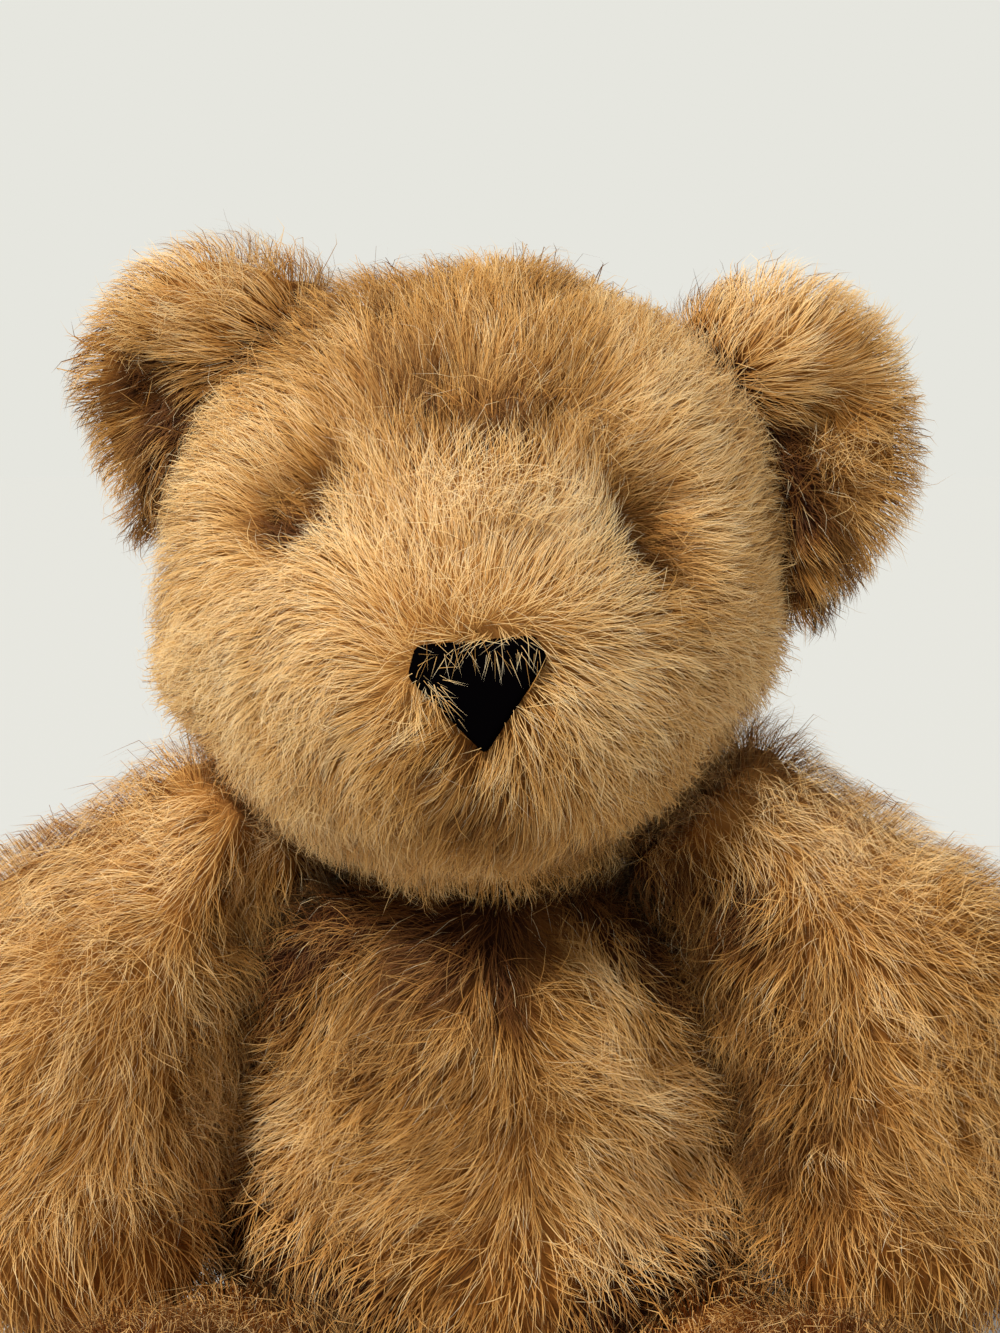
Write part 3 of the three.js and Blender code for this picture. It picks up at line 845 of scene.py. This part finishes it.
# The nap of the ears, and in its tones painted light and shade: the upper lobes lit, the lower lobes and the
# creases of the folds in painted shade.
ear_nap = {
    "right": [
        brush(-67, -8, 64, 150, 1.1, 0.72),
        brush(-79, -8, 52, 175, 1.1, 0.75),
        brush(-60, -8, 55, 200, 1.0, 0.66),
        brush(-53, -6, 66, 110, 1.1, 0.6),
        brush(-84, -8, 31, 225, 1.0, 0.4),
        brush(-89, -7, 43, 195, 1.1, 0.5),
        brush(-80, -8, 20, 245, 1.0, 0.45),
        brush(-72, -7, 38, 215, 0.8, 0.35),
        light_and_shade_spot(-87, -5, 43, -0.5, 5.5, 0.7),
        light_and_shade_spot(-80, -5, 39, -0.7, 5.5, 0.6),
        light_and_shade_spot(-72, -5, 36, -0.8, 6, 0.5),
        light_and_shade_spot(-72, -6, 24, -0.3, 8),
        light_and_shade_spot(-86, -6, 34, -0.16, 14),
        light_and_shade_spot(-84, -6, 18, -0.1, 12),
    ],
    "left": [
        brush(64, -8, 57, 60, 1.1, 0.88),
        brush(80, -8, 55, 30, 1.1, 0.85),
        brush(92, -7, 38, 10, 1.1, 0.65),
        brush(69, -8, 38, 330, 0.8, 0.45),
        brush(85, -8, 20, 330, 1.0, 0.42),
        brush(94, -2, 5, 320, 1.0, 0.5),
        brush(82, -6, -4, 290, 1.0, 0.42),
        brush(77, -9, 10, 300, 0.9, 0.4),
        brush(59, -5, 62, 100, 1.1, 0.78),
        light_and_shade_spot(70, -6, 31, -0.7, 7, 0.6),
        light_and_shade_spot(75, -6, 33, -0.4, 6, 0.8),
        light_and_shade_spot(74, -6, 20, -0.45, 9, 0.8),
        light_and_shade_spot(76, -4, 5, -0.22, 9),
        light_and_shade_spot(78, -4, -8, -0.25, 9),
        light_and_shade_spot(95, -6, 48, 0.25, 8),
    ],
}
ear_folds = {
    "right": (
        ((-83, -8, 49), (0, 5, 0), 6),
        ((-76, -9, 42), (0, 7, 0), 6),
        ((-70, -9, 35), (0, 7, 0), 7),
        ((-68, -8, 58), (0, -5, 0), 13),
        ((-85, -8, 28), (0, 4, 0), 13),
    ),
    "left": (
        ((71, -9, 29), (0, 7, 0), 7),
        ((77, -9, 33), (0, 5, 0), 6),
        ((72, -8, 52), (0, -5, 0), 14),
        ((84, -8, 14), (0, 2, 0), 13),
    ),
}
ear_style = dict(head_style, length=0.0125, swirl=0.45, stray=0.3, ruffle=0.35, lock=0.004, shade=0.08)
for side, across, seed in (("right", -1, 200), ("left", 1, 240)):
    panels = [f"ear_{side}_front", f"ear_{side}_back"]
    ear = sewn_form("ear_form", panels, 0.0032, ear_depth)
    pushed(ear, *ear_folds[side])
    pressed_and_shaded = pressed_out(ear, ["head_side_" + side, "head_gusset"], ear_depth, 0.005)
    owner = nearest_panel(ear, panels)
    density = showing(ear, 1.7e6, 0.6e6)
    for number, panel in enumerate(panels):
        faces = np.flatnonzero(owner == number)
        piece = coat(
            panel + "_fur", ear, faces, ear_nap[side], (across, 0.1, 0.3, 1.0, 0.5), density[faces],
            pressed_and_shaded[faces], ear_style, seed + number,
        )
        piece.data.materials.append(backing_cloth)
        piece.data.materials.append(golden_pile)
        settle(piece, panel)
    bpy.data.objects.remove(ear)


# The body: two fronts and two backs of pile cloth with the seams down the middle, stuffed. The chest is in
# the shade of the chin, which is painted into the tone of its pile, and the nap runs down and out from the
# seam.
# The nap of the chest, and in its tones painted light and shade: painted shade under the chin and beside the
# arms, paler patches where light falls, and a darker line along the middle seam.
body_nap = [
    light_and_shade_spot(-38, -26, -90, 0.4, 10),
    light_and_shade_spot(-41, -28, -103, 0.3, 9),
    light_and_shade_spot(-40, -26, -84, 0.3, 9),
    light_and_shade_spot(33, -28, -90, 0.35, 9),
    light_and_shade_spot(36, -30, -114, -0.2, 8),
    light_and_shade_spot(12, -39, -103, -0.22, 15),
    light_and_shade_spot(-8, -34, -82, -0.16, 12),
    light_and_shade_spot(-19, -36, -97, -0.12, 12),
    light_and_shade_spot(-32, -34, -115, -0.18, 9),
    light_and_shade_spot(-50, -24, -136, 0.3, 10),
    light_and_shade_spot(14, -40, -110, 0.15, 14),
    light_and_shade_spot(24, -36, -88, 0.15, 14),
    light_and_shade_spot(24, -38, -122, 0.1, 14),
    light_and_shade_spot(-12, -34, -76, -0.3, 10),
    light_and_shade_spot(4, -37, -80, -0.35, 10),
    light_and_shade_spot(4, -41, -96, -0.22, 5),
    light_and_shade_spot(5, -42, -107, -0.2, 5),
    light_and_shade_spot(7, -43, -118, -0.2, 5),
    light_and_shade_spot(8, -44, -130, -0.2, 5),
    light_and_shade_spot(0, -34, -72, -0.4, 17),
    brush(-20, -33, -88, 200, 0.9, 0.4),
    brush(-37, -30, -112, 215, 1.0, 0.52),
    brush(-8, -43, -120, 235, 1.0, 0.36),
    brush(-6, -40, -98, 205, 0.9, 0.3),
    brush(-16, -28, -78, 235, 0.8, 0.2),
    brush(-32, -37, -135, 225, 1.0, 0.42),
    brush(19, -33, -88, 330, 0.9, 0.5),
    brush(36, -31, -112, 320, 1.0, 0.6),
    brush(19, -41, -121, 305, 1.0, 0.62),
    brush(12, -39, -98, 330, 1.0, 0.45),
    brush(17, -28, -78, 300, 0.8, 0.12),
    brush(38, -32, -134, 310, 1.0, 0.62),
]
body_style = dict(
    head_style, length=0.0135, width=0.00013, lock=0.0032, mat=0.62, swirl=0.65, stray=0.28, ruffle=0.3,
    pale=0.02, curl=0.002, shade=0.4, mottle=0.12,
)
arm_panels = {side: [f"arm_{side}_outer", f"arm_{side}_inner"] for side in ("left", "right")}
leg_panels = {side: [f"leg_{side}_outer", f"leg_{side}_inner"] for side in ("left", "right")}
body_depth = 0.0055
body_form = sewn_form("body_form", body_panels + ["body_stuffing"], 0.0048, body_depth)
pushed(
    body_form,
    ((-42, -20, -72), (-7, 0, 0), 18),
    ((-50, -16, -90), (-10, 0, 0), 20),
    ((-54, -16, -112), (-9, 0, 0), 22),
    ((54, -16, -112), (6, 0, 0), 22),
    ((-54, 2, -90), (-8, 0, 0), 17),
    ((-58, 6, -112), (-10, 0, 0), 20),
    ((-60, 6, -130), (-8, 0, 0), 20),
    ((54, 2, -90), (7, 0, 0), 17),
    ((58, 6, -112), (9, 0, 0), 20),
    ((60, 6, -130), (8, 0, 0), 20),
    ((-58, 0, -148), (-9, 0, 0), 17),
    ((58, 0, -148), (8, 0, 0), 17),
    ((-60, -4, -162), (-9, 0, 0), 15),
    ((60, -4, -162), (8, 0, 0), 15),
    ((-42, -22, -86), (-4, -6, 0), 15),
    ((40, -22, -88), (3, -5, 0), 13),
)
limb_panels = sum(arm_panels.values(), []) + sum(leg_panels.values(), [])
chin_panels = ["muzzle", "head_side_left", "head_side_right"]
body_pressed_and_shaded = pressed_out(body_form, chin_panels + limb_panels, body_depth, shaded_by=limb_panels)
dress(
    body_form, "body_stuffing", body_panels, body_nap, (0, -0.1, -1, 1.0, 0.45), body_style, 300,
    showing(body_form, 1.4e6, 0.55e6), body_pressed_and_shaded,
)


# The arms: each an outer and an inner panel, stuffed and sewn on at the shoulder. They hang down
# beside the body, with whorls in the pile where they have been held.
# The nap of the arms, and in its tones painted light and shade: the tops of the shoulders lit, and painted
# shade on the inner strips beside the body.
arm_nap = {
    "right": [
        brush(-67, -23, -50, 215, 1.0, 0.72),
        brush(-85, -29, -63, 210, 1.0, 0.7),
        brush(-61, -37, -70, 255, 1.1, 0.55),
        brush(-75, -41, -81, 200, 1.2, 0.6),
        brush(-88, -48, -96, 235, 1.0, 0.58),
        brush(-66, -39, -110, 255, 1.0, 0.5),
        brush(-96, -52, -118, 240, 1.0, 0.55),
        brush(-55, -37, -89, 270, 1.0, 0.3),
        brush(-104, -41, -81, 215, 1.0, 0.66),
        light_and_shade_spot(-65, -40, -100, 0.3, 10),
    ],
    "left": [
        brush(63, -28, -53, 320, 1.0, 0.82),
        brush(84, -34, -69, 330, 1.1, 0.82),
        brush(82, -46, -91, 285, 1.1, 0.5),
        brush(71, -42, -88, 240, 1.1, 0.32),
        brush(68, -39, -117, 265, 1.0, 0.22),
        brush(103, -45, -87, 315, 1.0, 0.55),
        brush(100, -51, -118, 290, 1.0, 0.5),
        brush(91, -50, -104, 330, 1.2, 0.52),
        brush(53, -37, -75, 275, 1.0, 0.15),
        light_and_shade_spot(58, -38, -85, -0.22, 10),
    ],
}
arm_style = dict(body_style, shade=0.6)
for side, across, seed in (("right", -1, 400), ("left", 1, 440)):
    arm = sewn_form("arm_form", arm_panels[side] + [f"arm_{side}_stuffing"], 0.0042, body_depth)
    widths = (33, 28, 22, 17) if side == "right" else (9, 10, 10, 10)
    for (x, y, z), width in zip(((27, -34, -68), (36, -36, -84), (42, -40, -104), (46, -40, -126)), widths):
        pushed(arm, ((x * across, y, z), (width * across, 0, 0), 20))
    pressed_and_shaded = pressed_out(
        arm, body_panels + ["head_side_" + side] + leg_panels[side], body_depth, shaded_by=body_panels
    )
    dress(
        arm, f"arm_{side}_stuffing", arm_panels[side], arm_nap[side], (0.3 * across, -0.1, -1, 1.0, 0.5),
        arm_style, seed, showing(arm, 1.25e6, 0.4e6), pressed_and_shaded,
    )


# The legs: each an outer and an inner panel with a flat oval sole of short plush, stuffed. They
# reach forward on the floor with the soles turned up to the front.
for side, across, seed in (("right", -1, 500), ("left", 1, 540)):
    panels = leg_panels[side] + [f"sole_{side}"]
    leg = sewn_form("leg_form", panels + [f"leg_{side}_stuffing"], 0.0042, body_depth)
    pressed_and_shaded = pressed_out(leg, body_panels + arm_panels[side], body_depth, -0.004)
    dress(
        leg, f"leg_{side}_stuffing", panels, (), (0.25 * across, -1, -0.25, 1.0, 0.5),
        body_style, seed, showing(leg, 0.7e6, 0.55e6), pressed_and_shaded, short=(f"sole_{side}",),
    )


# The floor and the light: a pale sheet, a soft lamp high on the left and a pale room.
bpy.ops.object.select_all(action="DESELECT")
bpy.ops.mesh.primitive_plane_add(size=8, location=(0, 0, 0))
floor = bpy.context.object
floor.name = "floor"
floor_paint, floor_shader, start = new_finish("pale floor", 0.9)
floor_shader.inputs["Base Color"].default_value = (*paint("d9dad7"), 1)
floor.data.materials.append(floor_paint)

world = bpy.data.worlds.new("room")
bpy.context.scene.world = world
world.use_nodes = True
room = Signal(world.node_tree, world.node_tree.nodes["Background"].outputs[0])
fill = room.node("ShaderNodeBackground", Color=(*paint("f0f2f2"), 1), Strength=0.42)
paper = room.node("ShaderNodeBackground", Color=(*paint("e6e6df"), 1), Strength=1.0)
straight = room.node("ShaderNodeLightPath")
shown = room.node("ShaderNodeMixShader", i0=straight, i1=fill, i2=paper)
world.node_tree.links.new(shown.socket, world.node_tree.nodes["World Output"].inputs[0])

bpy.ops.object.light_add(type="SUN", rotation=(math.radians(42), 0, math.radians(-36)))
lamp = bpy.context.object
lamp.data.energy = 3.4
lamp.data.angle = math.radians(12)
lamp.data.color = (1.0, 0.97, 0.91)

bpy.context.scene.view_settings.view_transform = "Standard"
